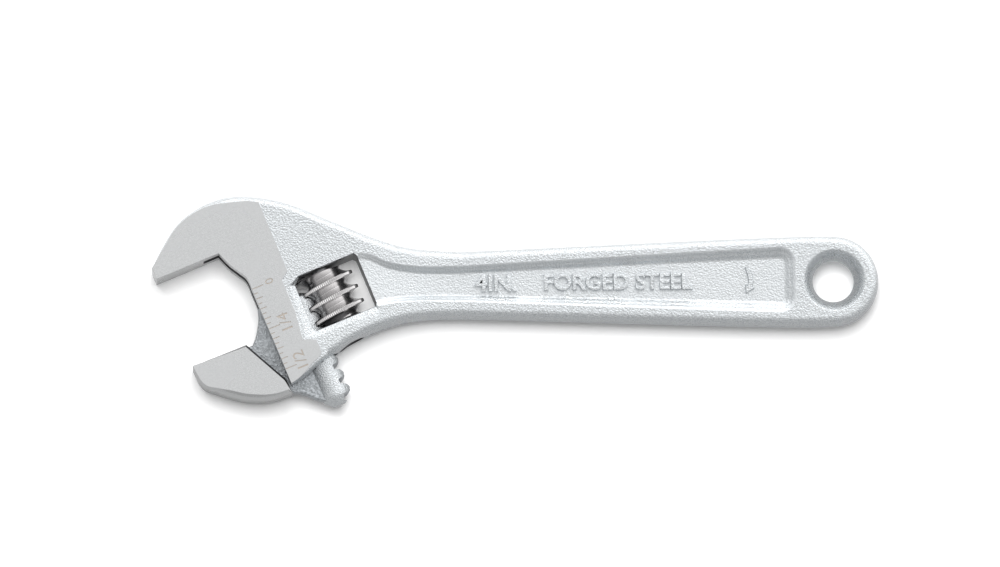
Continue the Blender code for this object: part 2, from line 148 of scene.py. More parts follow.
# Each edge is a run of (inset, share of the half thickness) steps, up from the middle plane.
FORGED_EDGE = (
    (0.0, 0.03),
    (0.07 * MM, 0.06),
    (0.10 * MM, 0.35),
    (0.16 * MM, 0.58),
    (0.28 * MM, 0.73),
    (0.45 * MM, 0.84),
    (0.66 * MM, 0.92),
    (0.90 * MM, 0.97),
    (1.15 * MM, 0.992),
    (1.40 * MM, 1.0),
)
JAW_EDGE = (
    (0.05 * MM, 0.55),
    (0.14 * MM, 0.74),
    (0.30 * MM, 0.86),
    (0.48 * MM, 0.925),
    (0.68 * MM, 0.963),
    (0.85 * MM, 1.0),
)
WEB_EDGE = (
    (0.02 * MM, 0.55),
    (0.08 * MM, 0.82),
    (0.20 * MM, 0.96),
    (0.36 * MM, 1.0),
)
# The recess widens upwards, so its steps go outwards, from the floor at 0 to the face at 1.
RECESS_WALL = (
    (-0.25 * MM, 0.04),
    (-0.50 * MM, 0.17),
    (-0.75 * MM, 0.38),
    (-0.92 * MM, 0.48),
    (-1.08 * MM, 0.53),
    (-1.30 * MM, 0.70),
    (-1.52 * MM, 0.88),
    (-1.80 * MM, 0.98),
    (-2.10 * MM, 1.02),
    (-2.40 * MM, 1.30),
)

# Name, text, height and place along the handle.
HANDLE_MARKS = (
    ("size", "4IN.", 3.5 * MM, 33.6 * MM),
    ("word", "FORGED STEEL", 3.25 * MM, 51.4 * MM),
)
MARK_RISE = 0.55 * MM

SMOOTH = 'AUTO'
SHARP = 'VECTOR'
WELD = 1e-7
SHARP_ANGLE = math.radians(33)
FACE_WEIGHT = 60

# Rounds that meet are spun from starts this far apart, so that no edge lies on another.
KEY_START = 0.013
CORE_TOOL_START = 0.011
WORM_START = 0.007

# Small tools --------------------------------------------------------------------------------------


def head(v, u):
    """A head feature's place on the frame's XY plane."""
    place = HEAD_PLANE @ Vector((v, -u, 0))
    return place.x, place.y


def head_coords(point):
    """The (v, u) of a point of the frame's XY plane."""
    local = HEAD_PLANE.inverted() @ Vector((point.x, point.y, MID))
    return local.x, -local.y


def opening_axis(v, u, start=0.0):
    """The frame of a turned head piece: Z runs in the direction of opening, X along v but for start."""
    turn = Matrix(((1, 0, 0), (0, 0, -1), (0, 1, 0))).to_4x4()
    return HEAD_PLANE @ Matrix.Translation((v, -u, 0)) @ turn @ Matrix.Rotation(start, 4, 'Z')


def ease(share):
    """0 to 1 with soft ends."""
    share = min(1.0, max(0.0, share))
    return share * share * (3 - 2 * share)


def between(low, high, share):
    """The number that lies this share of the way from low to high."""
    return low + (high - low) * share


def shown_mesh(drawn):
    """The mesh that an object shows, with its modifiers applied."""
    bpy.context.view_layer.update()
    return bpy.data.meshes.new_from_object(drawn.evaluated_get(bpy.context.evaluated_depsgraph_get()))


def knot_points(knots, steps):
    """The closed smooth line through (x, y, handle) knots as points in order."""
    curve = bpy.data.curves.new("line", 'CURVE')
    curve.dimensions = '2D'
    curve.fill_mode = 'NONE'
    curve.resolution_u = steps
    spline = curve.splines.new('BEZIER')
    spline.bezier_points.add(len(knots) - 1)
    spline.use_cyclic_u = True
    for knot, (x, y, handle) in zip(spline.bezier_points, knots):
        knot.co = (x, y, 0)
        knot.handle_left_type = handle
        knot.handle_right_type = handle
    drawn = bpy.data.objects.new("line", curve)
    bpy.context.scene.collection.objects.link(drawn)
    mesh = shown_mesh(drawn)
    points = [vertex.co.copy() for vertex in mesh.vertices]
    bpy.data.objects.remove(drawn)
    bpy.data.meshes.remove(mesh)
    return points


def flat_face(mesh, points):
    """One face through the points, turned to point up."""
    face = mesh.faces.new([mesh.verts.new(point) for point in points])
    face.normal_update()
    if face.normal.z < 0:
        face.normal_flip()
    return face


def inward_steps(points):
    """For each point of an anticlockwise outline, the step that moves both its sides in by one."""
    steps = []
    for index, point in enumerate(points):
        before = (point - points[index - 1]).normalized()
        after = (points[(index + 1) % len(points)] - point).normalized()
        left = Vector((-before.y - after.y, before.x + after.x, 0))
        left.normalize()
        square = max(0.5, left.dot(Vector((-after.y, after.x, 0))))
        steps.append(left / square)
    return steps


def drafted(mesh, face, profile, share=lambda point: 1.0):
    """Raises the face through (inset, height) steps. share(point) scales the inset at each point."""
    outline = [vertex.co.copy() for vertex in face.verts]
    inward = inward_steps(outline)
    shares = [share(point) for point in outline]
    for inset, height in profile:
        face = bmesh.ops.extrude_discrete_faces(mesh, faces=[face])["faces"][0]
        for vertex, point, step, part in zip(face.verts, outline, inward, shares):
            vertex.co = point + step * inset * part
            vertex.co.z = height
    return face


def both_halves(mesh):
    """Adds the mirror image below the middle plane and closes the two halves."""
    bmesh.ops.mirror(mesh, geom=[*mesh.verts, *mesh.edges, *mesh.faces], axis='Z', merge_dist=WELD)
    bmesh.ops.remove_doubles(mesh, verts=mesh.verts, dist=WELD)
    bmesh.ops.recalc_face_normals(mesh, faces=mesh.faces)


def slices(mesh, low, high, spacing):
    """Cuts the mesh across X, so that its flat faces can bend."""
    count = round((high - low) / spacing)
    for index in range(count + 1):
        place = (between(low, high, index / count), 0, 0)
        geometry = [*mesh.verts, *mesh.edges, *mesh.faces]
        bmesh.ops.bisect_plane(mesh, geom=geometry, dist=1e-7, plane_co=place, plane_no=(1, 0, 0))


def piece_of(mesh, name, finish, place=None):
    """A finished bmesh as an object whose place is in its mesh."""
    if place is not None:
        bmesh.ops.transform(mesh, matrix=place, verts=mesh.verts)
    data = bpy.data.meshes.new(name)
    mesh.to_mesh(data)
    mesh.free()
    data.materials.append(finish)
    made = bpy.data.objects.new(name, data)
    bpy.context.scene.collection.objects.link(made)
    return made


def settle(piece):
    """Applies the piece's modifiers to its mesh."""
    mesh = shown_mesh(piece)
    piece.modifiers.clear()
    piece.data = mesh
    mesh.name = piece.name


def work(piece, operation, *tools):
    """Cuts the tools from the piece, or joins them to it, and removes them."""
    for tool in tools:
        step = piece.modifiers.new(tool.name, 'BOOLEAN')
        step.operation = operation
        step.object = tool
        step.solver = 'MANIFOLD'
        step.material_mode = 'TRANSFER'
    settle(piece)
    for tool in tools:
        bpy.data.objects.remove(tool)


def turned(name, profile, finish, place, steps=64):
    """The solid spun from (radius, z) points that start and end on the axis."""
    mesh = bmesh.new()
    points = profile if profile[0][1] > profile[-1][1] else profile[::-1]
    corners = [mesh.verts.new((radius, 0, z)) for radius, z in points]
    edges = [mesh.edges.new(pair) for pair in zip(corners, corners[1:])]
    bmesh.ops.spin(
        mesh,
        geom=[*corners, *edges],
        cent=(0, 0, 0),
        axis=(0, 0, 1),
        angle=math.tau,
        steps=steps,
        use_merge=True,
    )
    bmesh.ops.remove_doubles(mesh, verts=mesh.verts, dist=WELD)
    bmesh.ops.recalc_face_normals(mesh, faces=mesh.faces)
    return piece_of(mesh, name, finish, place)


def thread(name, profile, first, turns, steps, finish, place, serration=0.0):
    """A right-handed ridge of the (radius, z) profile. Serration lowers the crest at every other step."""
    mesh = bmesh.new()
    corners = [mesh.verts.new((radius, 0, first + z)) for radius, z in profile]
    face = mesh.faces.new(corners)
    bmesh.ops.spin(
        mesh,
        geom=[*corners, *face.edges, face],
        cent=(0, 0, 0),
        axis=(0, 0, 1),
        dvec=(0, 0, PITCH / steps),
        angle=math.tau * turns,
        steps=steps * turns,
        use_duplicate=False,
    )
    if serration:
        crest = max(radius for radius, _ in profile)
        for vertex in mesh.verts:
            radius = math.hypot(vertex.co.x, vertex.co.y)
            step = round(math.atan2(vertex.co.y, vertex.co.x) / math.tau * steps)
            if radius > crest - 1e-6 and step % 2:
                vertex.co.xy = vertex.co.xy * (1 - serration / radius)
    bmesh.ops.triangulate(mesh, faces=mesh.faces)
    bmesh.ops.recalc_face_normals(mesh, faces=mesh.faces)
    return piece_of(mesh, name, finish, place)


def handle_half(x):
    """Half the handle's width at x."""
    return between(NECK_HALF, RING_R, (x - NECK_X) / (HOLE_X - NECK_X))


def forged_half(x):
    """Half the forging's thickness at x: full at the head, easing down to the handle."""
    return between(FORGED_HALF, HANDLE_HALF_THICK, ease((x - TAPER_START) / (TAPER_END - TAPER_START)))


# Body ---------------------------------------------------------------------------------------------


def body_knots():
    """The forging's outline: the crown, the handle, the ring, the chin and the throat."""
    back = (
        (0.22, 0.545),
        (0.46, 0.813),
        (0.71, 0.952),
        (0.95, 1.0),
        (1.195, 0.95),
        (1.44, 0.79),
        (1.765, 0.465),
    )
    chin = (
        (15.5 * MM, CHIN_U - 0.5 * MM),
        (18.0 * MM, CHIN_U - 1.35 * MM),
        (20.6 * MM, CHIN_U - 1.75 * MM),
        (WORM_V, PIN_HEAD_U + 0.45 * MM),
    )
    ring = [math.radians(90 - 22.5 * step) for step in range(9)]
    return [
        (*head(0, 0), SHARP),
        (*head(0, -TIP_HEIGHT), SHARP),
        *((*head(v * THROAT_V, -share * CROWN), SMOOTH) for v, share in back),
        (NECK_X - 18.4 * MM, NECK_HALF + 4.7 * MM, SMOOTH),
        (NECK_X - 11.4 * MM, NECK_HALF + 1.85 * MM, SMOOTH),
        (NECK_X - 7.4 * MM, NECK_HALF + 0.7 * MM, SMOOTH),
        (NECK_X, NECK_HALF, SHARP),
        *((HOLE_X + RING_R * math.cos(turn), RING_R * math.sin(turn), SMOOTH) for turn in ring),
        (NECK_X, -NECK_HALF, SHARP),
        (NECK_X - 5.0 * MM, -NECK_HALF - 0.15 * MM, SMOOTH),
        (NECK_X - 9.6 * MM, -NECK_HALF - 1.0 * MM, SMOOTH),
        *((*head(v, u), SMOOTH) for v, u in reversed(chin)),
        (*head(THROAT_V + 1.1 * MM, CHIN_U), SMOOTH),
        (*head(THROAT_V, CHIN_U), SHARP),
        (*head(THROAT_V, 7.0 * MM), SHARP),
        *((*head(v * THROAT_V, u), SMOOTH) for v, u in THROAT_CURVE),
        (*head(0.8 * THROAT_V, 0), SHARP),
    ]


def forged_share(point):
    """How much of the forged edge a point has: none on the machined jaw, throat and lip."""
    v, u = head_coords(point)
    if v < THROAT_V + 0.03 * MM and u > -0.1 * MM:
        return 0.0
    if u > 0 and v < 19 * MM:
        return 0.45
    return between(0.3, 1.0, ease((v - 7 * MM) / (6 * MM)))


def forging():
    """The drafted blank of the head and handle, thinner towards the handle."""
    mesh = bmesh.new()
    face = flat_face(mesh, knot_points(body_knots(), 9))
    drafted(mesh, face, FORGED_EDGE, forged_share)
    both_halves(mesh)
    slices(mesh, TAPER_START, TAPER_END, SLICE)
    for vertex in mesh.verts:
        vertex.co.z *= forged_half(vertex.co.x)
    return piece_of(mesh, "wrench_body", FORGED, Matrix.Translation((0, 0, MID)))


def ground_knots():
    """The ground face of the fixed jaw and the rule band, from the crown down to the chin."""
    right = 18.15 * MM
    notch = 16.9 * MM
    crown = (
        (0.22, 0.50),
        (0.46, 0.765),
        (0.71, 0.89),
        (0.95, 0.897),
        (1.12, 0.833),
        (1.28, 0.755),
        (1.36, 0.715),
    )
    side = (
        (17.5 * MM, -0.655 * CROWN),
        (right, -0.61 * CROWN),
        (right, 6.25 * MM),
        (notch, 7.15 * MM),
        (notch, 15.85 * MM),
        (right, 17.05 * MM),
        (right + 0.05 * MM, 18.9 * MM),
    )
    chin = (
        (18.0 * MM, 19.35 * MM),
        (16.3 * MM, 20.15 * MM),
        (15.0 * MM, 20.85 * MM),
        (14.0 * MM, 21.3 * MM),
        (12.9 * MM, 21.6 * MM),
    )
    return [
        (*head(0, 0), SHARP),
        (*head(0, -TIP_HEIGHT + 0.15 * MM), SHARP),
        *((*head(v * THROAT_V, -share * CROWN), SMOOTH) for v, share in crown),
        *((*head(v, u), SHARP) for v, u in side),
        *((*head(v, u), SMOOTH) for v, u in chin),
        (*head(THROAT_V, 21.7 * MM), SHARP),
        (*head(THROAT_V, 7.0 * MM), SHARP),
        *((*head(v * THROAT_V, u), SMOOTH) for v, u in THROAT_CURVE),
        (*head(0.8 * THROAT_V, 0), SHARP),
    ]


def ground_plate():
    """The part of the head that is ground flat on both faces."""
    mesh = bmesh.new()
    face = flat_face(mesh, knot_points(ground_knots(), 9))
    grown = 0.012 * MM
    profile = ((-grown, HALF - 0.05 * MM), (0.04 * MM - grown, HALF))
    drafted(mesh, face, profile)
    both_halves(mesh)
    return piece_of(mesh, "ground_plate", GROUND, Matrix.Translation((0, 0, MID)))


def window_tool():
    """The worm's window, with its rim sloped on three sides and its steep walls painted dark as shade."""
    small, large = 0.4 * MM, 1.0 * MM
    corners = (
        (WINDOW_LEFT, WINDOW_TOP + large),
        (WINDOW_LEFT, WINDOW_BOTTOM - small),
        (WINDOW_LEFT + small, WINDOW_BOTTOM),
        (WINDOW_RIGHT - small, WINDOW_BOTTOM),
        (WINDOW_RIGHT, WINDOW_BOTTOM - small),
        (WINDOW_RIGHT, WINDOW_TOP + small),
        (WINDOW_RIGHT - small, WINDOW_TOP),
        (WINDOW_LEFT + large, WINDOW_TOP),
    )
    mesh = bmesh.new()
    face = flat_face(mesh, [Vector((*head(v, u), 0)) for v, u in corners])

    def rim(point):
        """How much of the rim's slope a point has: all beside the lip, none beside the handle."""
        v, u = head_coords(point)
        if v > WINDOW_RIGHT - small / 2:
            return 0.0
        if v < WINDOW_LEFT + small / 2:
            return 1.0 if u > WORM_TOP + large else 0.55
        return 0.1 if u < WORM_TOP else 0.62

    profile = (
        (0.0, HALF - 0.62 * MM),
        (-0.10 * MM, HALF - 0.52 * MM),
        (-1.2 * MM, HALF - 0.20 * MM),
        (-2.2 * MM, HALF + 0.05 * MM),
    )
    drafted(mesh, face, profile, rim)
    both_halves(mesh)
    # The steep walls take the dark wall colour: painted shade for the deep window.
    for face in mesh.faces:
        face.material_index = int(abs(face.normal.z) < 0.1)
    made = piece_of(mesh, "window_tool", FORGED, Matrix.Translation((0, 0, MID)))
    made.data.materials.append(WALL)
    return made


def recess_floor(x):
    """The floor's height over the middle plane at x: it rises to just under the face by the window."""
    start, run = 13 * MM, 16 * MM
    return between(forged_half(x) - 0.42 * MM, RECESS_FLOOR, ease((x - start) / run))


def recess_tool():
    """The recess of both faces, with flat floors, sloped walls and rounded rims."""
    end = HOLE_X - 7.45 * MM
    top_inset, bottom_inset = 3.2 * MM, 3.5 * MM
    corner = 0.5 * MM
    near, far = NECK_HALF - top_inset - 0.3 * MM, handle_half(end) - top_inset
    low_near, low_far = bottom_inset - NECK_HALF, bottom_inset - handle_half(end)
    back = WINDOW_RIGHT - 1.5 * MM
    knots = [
        (*head(back, WINDOW_TOP + 1.0 * MM), SHARP),
        (*head(WINDOW_RIGHT, WINDOW_TOP + 1.0 * MM), SMOOTH),
        (NECK_X - 10.2 * MM, near + 0.75 * MM, SMOOTH),
        (NECK_X - 6.5 * MM, near + 0.15 * MM, SMOOTH),
        (NECK_X, near, SHARP),
        (end - corner, far, SHARP),
        (end - 0.3 * corner, far - 0.3 * corner, SMOOTH),
        (end, far - corner, SHARP),
        (end, low_far + corner, SHARP),
        (end - 0.3 * corner, low_far + 0.3 * corner, SMOOTH),
        (end - corner, low_far, SHARP),
        (NECK_X, low_near, SHARP),
        (NECK_X - 7.0 * MM, low_near - 0.1 * MM, SMOOTH),
        (*head(WINDOW_RIGHT, WINDOW_BOTTOM - 0.9 * MM), SMOOTH),
        (*head(back, WINDOW_BOTTOM - 0.9 * MM), SHARP),
    ]
    mesh = bmesh.new()
    face = flat_face(mesh, knot_points(knots, 6))

    def run(point):
        """The wall's width at a point: none over the window, then more towards the ring."""
        v, _ = head_coords(point)
        if v < WINDOW_RIGHT - 0.2 * MM:
            return 0.0
        return between(0.62, 0.92, (point.x - 26 * MM) / (44 * MM))

    drafted(mesh, face, RECESS_WALL, run)
    bmesh.ops.holes_fill(mesh, edges=[edge for edge in mesh.edges if edge.is_boundary])
    bmesh.ops.recalc_face_normals(mesh, faces=mesh.faces)
    slices(mesh, 12 * MM, 30 * MM, SLICE)
    for vertex in mesh.verts:
        x = vertex.co.x
        vertex.co.z = between(recess_floor(x), forged_half(x), vertex.co.z)
    bmesh.ops.mirror(mesh, geom=[*mesh.verts, *mesh.edges, *mesh.faces], axis='Z', merge_dist=0)
    bmesh.ops.recalc_face_normals(mesh, faces=mesh.faces)
    return piece_of(mesh, "recess_tool", RECESS, Matrix.Translation((0, 0, MID)))


def slot_tool():
    """The slot for the movable jaw's web, with the round run-out that its saw left."""
    runout = 8.1 * MM
    end = OPENING - WEB_RISE - TRAVEL - 0.6 * MM
    centre_v = KEY_V - KEY_R - 0.6 * MM
    centre_u = end + runout
    below = CHIN_U + PAST_HEAD
    turns = [math.radians(3.75 * step) for step in range(25)]  # a quarter turn
    arc = [(centre_v - runout * math.sin(turn), centre_u - runout * math.cos(turn)) for turn in turns]
    corners = [(KEY_V, below), (KEY_V, end), *arc, (arc[-1][0], below)]
    mesh = bmesh.new()
    face = flat_face(mesh, [Vector((*head(v, u), 0)) for v, u in corners])
    drafted(mesh, face, ((0.0, WEB_HALF + SLIDE_GAP),))
    both_halves(mesh)
    # The slot's walls take the near-black colour: painted shade in the slot.
    return piece_of(mesh, "slot_tool", BORE, Matrix.Translation((0, 0, MID)))


def bore_tool():
    """The bore that the jaw's key slides in, open at the head's lower edge."""
    radius = KEY_R + SLIDE_GAP
    edge = KEY_TOP - TRAVEL - 0.3 * MM
    deep = CHIN_U + PAST_HEAD
    profile = ((0, edge - KEY_POINT), (radius, edge), (radius, deep), (0, deep))
    # The bore's wall takes the near-black colour: painted shade in the bore.
    return turned("bore_tool", profile, BORE, opening_axis(KEY_V, 0))


def pin_hole_tool():
    """The worm pin's stepped hole."""
    hole = PIN_R + PIN_FIT
    head_hole = PIN_HEAD_R + PIN_FIT
    seat = PIN_HEAD_U - PIN_HEAD_LENGTH - PIN_FIT
    deep = PIN_HEAD_U + PAST_HEAD
    profile = (
        (0, PIN_END_U - PIN_FIT),
        (hole, PIN_END_U - PIN_FIT),
        (hole, seat),
        (head_hole, seat),
        (head_hole, deep),
        (0, deep),
    )
    # The hole's walls take the near-black colour: painted shade in the hole.
    return turned("pin_hole_tool", profile, BORE, opening_axis(WORM_V, 0))


def hang_hole_tool():
    """The hanging hole, with a cone and a rounded rim at both faces."""
    half = HANDLE_HALF_THICK
    past = 0.6 * MM
    cone = (
        (HOLE_RIM_R + past + 0.3 * MM, half + past),
        (HOLE_RIM_R + 0.32 * MM, half + 0.03 * MM),
        (HOLE_RIM_R, half - 0.16 * MM),
        (HOLE_RIM_R - 0.7 * MM, half - 1.05 * MM),
        (HOLE_RIM_R - 0.82 * MM, half - 1.3 * MM),
        (HOLE_R, half - 2.4 * MM),
    )
    mirrored = [(radius, -z) for radius, z in reversed(cone)]
    profile = ((0, half + past), *cone, *mirrored, (0, -half - past))
    return turned("hang_hole_tool", profile, FORGED, Matrix.Translation((HOLE_X, 0, MID)), 96)


def ride_as(piece, body, slot, *nodes):
    """Smooth shading, the body that the piece rides and the CAD nodes that it stands for. The slot
    argument is not used.
    """
    piece.data.shade_smooth()
    piece.data.set_sharp_from_angle(angle=SHARP_ANGLE)
    shade = piece.modifiers.new("shade", 'WEIGHTED_NORMAL')
    shade.keep_sharp = True
    shade.weight = FACE_WEIGHT
    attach(piece, body)
    if nodes:
        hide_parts(*nodes)
    return piece


def letters(text, size, depth, finish, place, name, bevel=0.0, weight=0.0):
    """Plain sans lettering as a closed solid, centred on its place and standing on it."""
    curve = bpy.data.curves.new(name, 'FONT')
    curve.body = text
    curve.size = size
    curve.align_x = 'CENTER'
    curve.align_y = 'CENTER'
    curve.extrude = depth / 2
    curve.bevel_depth = bevel
    curve.offset = weight
    curve.bevel_resolution = 2
    curve.resolution_u = 5
    drawn = bpy.data.objects.new(name, curve)
    bpy.context.scene.collection.objects.link(drawn)
    data = shown_mesh(drawn)
    bpy.data.objects.remove(drawn)
    mesh = bmesh.new()
    mesh.from_mesh(data)
    bmesh.ops.remove_doubles(mesh, verts=mesh.verts, dist=WELD)
    bmesh.ops.recalc_face_normals(mesh, faces=mesh.faces)
    return piece_of(mesh, name, finish, place)


def on_head(v, u, z, turn=0.0):
    """The frame of a mark on the head, z over the middle plane. Its X runs along v before the turn."""
    return HEAD_PLANE @ Matrix.Translation((v, -u, z)) @ Matrix.Rotation(turn, 4, 'Z')


def rule_tools():
    """The rule's marks and numbers, sunk a little into the ground band beside the lip."""
    start = 12.35 * MM
    zero_u = 6.75 * MM
    step = 25.4 * MM / 32
    deep = 0.09 * MM
    width = 0.13 * MM
    long_mark, middle, short = 1.75 * MM, 1.0 * MM, 0.6 * MM
    tools = []
    for index in range(17):
        length = long_mark if index % 8 == 0 else middle if index % 2 == 0 else short
        mesh = bmesh.new()
        bmesh.ops.create_cube(mesh, size=1)
        bmesh.ops.scale(mesh, verts=mesh.verts, vec=(length, width, 2 * deep))
        place = on_head(start + length / 2, zero_u + step * index, HALF)
        tools.append(piece_of(mesh, f"mark_{index}", ETCH, place))
    quarter = math.radians(90)
    numbers = (
        ("0", 1.75 * MM, 15.15 * MM, zero_u - 0.15 * MM),
        ("1/4", 2.4 * MM, 15.0 * MM, zero_u + 8 * step),
        ("1/2", 2.4 * MM, 14.95 * MM, zero_u + 15.6 * step),
    )
    for text, size, v, u in numbers:
        tools.append(letters(text, size, 2 * deep, ETCH, on_head(v, u, HALF, quarter), "number"))
    return tools


def wrench_body():
    """The forging with its ground faces, cut by every tool in turn."""
    made = forging()
    work(made, 'UNION', ground_plate())
    for tool in (window_tool, recess_tool, slot_tool, bore_tool, pin_hole_tool, hang_hole_tool):
        work(made, 'DIFFERENCE', tool())
    for tool in rule_tools():
        work(made, 'DIFFERENCE', tool)
    ride_as(made, "root", "forged_body", "body")


def arrow_mark(place):
    """The raised, curved arrow that shows which way to pull, as a swept band with its head."""
    radius, half_width, deep = 3.0 * MM, 0.38 * MM, 0.48 * MM
    first, last, tip = math.radians(42), math.radians(-16), math.radians(-41)
    turns = [between(first, last, step / 10) for step in range(11)]
    centre = Vector((-radius, 0, 0))

    def at(turn, out):
        return centre + Vector(((radius + out) * math.cos(turn), (radius + out) * math.sin(turn), 0))

    widths = [half_width * min(1, 0.3 + 0.2 * step) for step in range(11)]
    outside = [at(turn, width) for turn, width in zip(turns, widths)]
    inside = [at(turn, -width) for turn, width in zip(reversed(turns), reversed(widths))]
    barbs = [at(last, 2.0 * half_width), at(tip, 0), at(last, -2.0 * half_width)]
    mesh = bmesh.new()
    face = flat_face(mesh, [*outside, *barbs, *inside])
    drafted(mesh, face, ((0.0, 0.6 * deep), (0.1 * MM, deep)))
    bmesh.ops.holes_fill(mesh, edges=[edge for edge in mesh.edges if edge.is_boundary])
    bmesh.ops.recalc_face_normals(mesh, faces=mesh.faces)
    return piece_of(mesh, "arrow_mark", FORGED, place)


def handle_marks():
    """The raised marks on the recess's floors: the size, a plain word and the arrow, on both faces."""
    to_middle = Matrix.Translation((0, 0, MID))
    over = to_middle @ Matrix.Rotation(math.pi, 4, 'X') @ to_middle.inverted()
    round_edge = 0.11 * MM
    seat = MID + RECESS_FLOOR
    for side, flip in (("upper", Matrix.Identity(4)), ("lower", over)):
        for name, text, size, x in HANDLE_MARKS:
            place = flip @ Matrix.Translation((x, 0, seat + MARK_RISE / 2 - 0.02 * MM))
            straight = MARK_RISE - 2 * round_edge
            label = f"{name}_mark_{side}"
            made = letters(text, size, straight, FORGED, place, label, round_edge, 0.02 * MM)
            ride_as(made, "root", "forged_body")
        made = arrow_mark(flip @ Matrix.Translation((71.0 * MM, 0.1 * MM, seat - 0.04 * MM)))
        made.name = f"arrow_mark_{side}"
        ride_as(made, "root", "forged_body")


# Movable jaw --------------------------------------------------------------------------------------


def jaw_head(v, w):
    """A movable jaw feature's place on the frame's XY plane."""
    return head(v, OPENING + w)


def jaw_nose():
    """The thick nose with its ground faces, drafted below and down to the web. Its sides by the lip are
    painted dark, a painted shadow in the gap to the web.
    """
    side = THROAT_V - LIP_GAP
    heel = 0.66 * THROAT_V
    under = (
        (0.04 * THROAT_V, JAW_TIP_HEIGHT + 0.1 * MM),
        (0.14 * THROAT_V, JAW_TIP_HEIGHT + 1.35 * MM),
        (0.3 * THROAT_V, JAW_TIP_HEIGHT + 3.05 * MM),
        (0.5 * THROAT_V, JAW_TIP_HEIGHT + 4.6 * MM),
        (0.73 * THROAT_V, JAW_TIP_HEIGHT + 5.6 * MM),
    )
    knots = [
        (*jaw_head(0, 0), SHARP),
        (*jaw_head(0.69 * THROAT_V, 0), SHARP),
        (*jaw_head(side, 7.0 * MM), SHARP),
        (*jaw_head(side, JAW_TIP_HEIGHT + 5.8 * MM), SHARP),
        *((*jaw_head(v, w), SMOOTH) for v, w in reversed(under)),
        (*jaw_head(0, JAW_TIP_HEIGHT - 1.2 * MM), SHARP),
    ]

    def share(point):
        """How much of the jaw's edge a point has: none along its face and little beside the lip."""
        v, u = head_coords(point)
        w = u - OPENING
        if w < 0.1 * MM and v < 0.6 * THROAT_V:
            return 0.0
        if v > heel and w < 7.2 * MM:
            return 0.5
        if v > side - 0.05 * MM:
            return 0.12
        if v < 0.3 * THROAT_V:
            return between(0.25, 1.0, ease(v / (0.3 * THROAT_V)))
        return between(1.0, 0.7, ease(2 * v / THROAT_V - 1))

    mesh = bmesh.new()
    face = flat_face(mesh, knot_points(knots, 8))
    drafted(mesh, face, [(inset, rise * HALF) for inset, rise in JAW_EDGE], share)
    both_halves(mesh)
    # Faces by the lip that face the web get the near-black colour: painted shadow in the gap.
    for face in mesh.faces:
        v, _ = head_coords(face.calc_center_median())
        painted_gap_shade = v > heel and (HEAD_TURN.inverted() @ face.normal).x > 0.3
        face.material_index = int(painted_gap_shade)
    made = piece_of(mesh, "jaw", GROUND, Matrix.Translation((0, 0, MID)))
    made.data.materials.append(BORE)
    return made


def jaw_web():
    """The thin plate from the nose to the key, with the hollow that matches the throat."""
    inside = 0.5 * THROAT_V
    key_v = KEY_V - 0.9 * MM
    knots = [
        (*jaw_head(inside, 0.3 * MM), SHARP),
        (*jaw_head(0.76 * THROAT_V, 0.3 * MM), SHARP),
        (*jaw_head(0.82 * THROAT_V, -0.45 * MM), SMOOTH),
        (*jaw_head(0.885 * THROAT_V, -1.6 * MM), SMOOTH),
        (*jaw_head(0.945 * THROAT_V, -2.9 * MM), SMOOTH),
        (*jaw_head(0.985 * THROAT_V, -WEB_RISE), SHARP),
        (*jaw_head(key_v, -WEB_RISE), SHARP),
        (*jaw_head(key_v, KEY_END_W - 0.8 * MM), SHARP),
        (*jaw_head(KEY_V - 2.5 * MM, KEY_END_W - 1.6 * MM), SMOOTH),
        (*jaw_head(THROAT_V + 1.35 * MM, KEY_END_W - 3.25 * MM), SMOOTH),
        (*jaw_head(THROAT_V - 0.35 * MM, KEY_END_W - 4.35 * MM), SMOOTH),
        (*jaw_head(inside, JAW_TIP_HEIGHT + 3.0 * MM), SHARP),
    ]
    mesh = bmesh.new()
    face = flat_face(mesh, knot_points(knots, 6))
    drafted(mesh, face, [(inset, rise * WEB_HALF) for inset, rise in WEB_EDGE])
    both_halves(mesh)
    return piece_of(mesh, "web", WEB, Matrix.Translation((0, 0, MID)))


def key_bar():
    """The round key at the web's end, before the worm's teeth are cut in it."""
    top = KEY_TOP
    end = OPENING + KEY_END_W
    profile = (
        (0, top - KEY_POINT),
        (KEY_R - 0.15 * MM, top - 0.06 * MM),
        (KEY_R, top + 0.15 * MM),
        (KEY_R, end - 1.75 * MM),
        (KEY_R - 0.4 * MM, end - 1.0 * MM),
        (1.05 * MM, end - 0.15 * MM),
        (0.8 * MM, end),
        (0, end),
    )
    return turned("key_bar", profile, FORGED, opening_axis(KEY_V, 0, KEY_START))


def thread_profile(gap, base):
    """The ridge's section as (radius, z): hollow flanks from the root up to a narrow crest."""
    widest = PITCH / 2 - 0.02 * MM
    flank = [(base, widest)]
    for rise in (0.0, 0.08, 0.18, 0.3, 0.45, 0.65, 0.93, 1.0):
        radius = between(WORM_ROOT_R, WORM_R, rise) + gap * (2 * rise - 1)
        half = between(CREST_HALF, ROOT_HALF + CREST_HALF, (1 - rise) ** 2.2) + gap
        if rise == 1:
            half -= CREST_ROUND
        flank.append((radius, min(half, widest)))
    return [*((r, -half) for r, half in flank), *((r, half) for r, half in reversed(flank))]


def ridge(name, gap, base, first, turns, steps, finish, serration=0.0):
    """The worm's thread in its place, grown by the gap where it is the tool that cuts the rack."""
    half_step = math.pi / steps
    along = PITCH * half_step / math.tau
    place = opening_axis(WORM_V, WORM_TOP + along, half_step)
    return thread(name, thread_profile(gap, base), first, turns, steps, finish, place, serration)


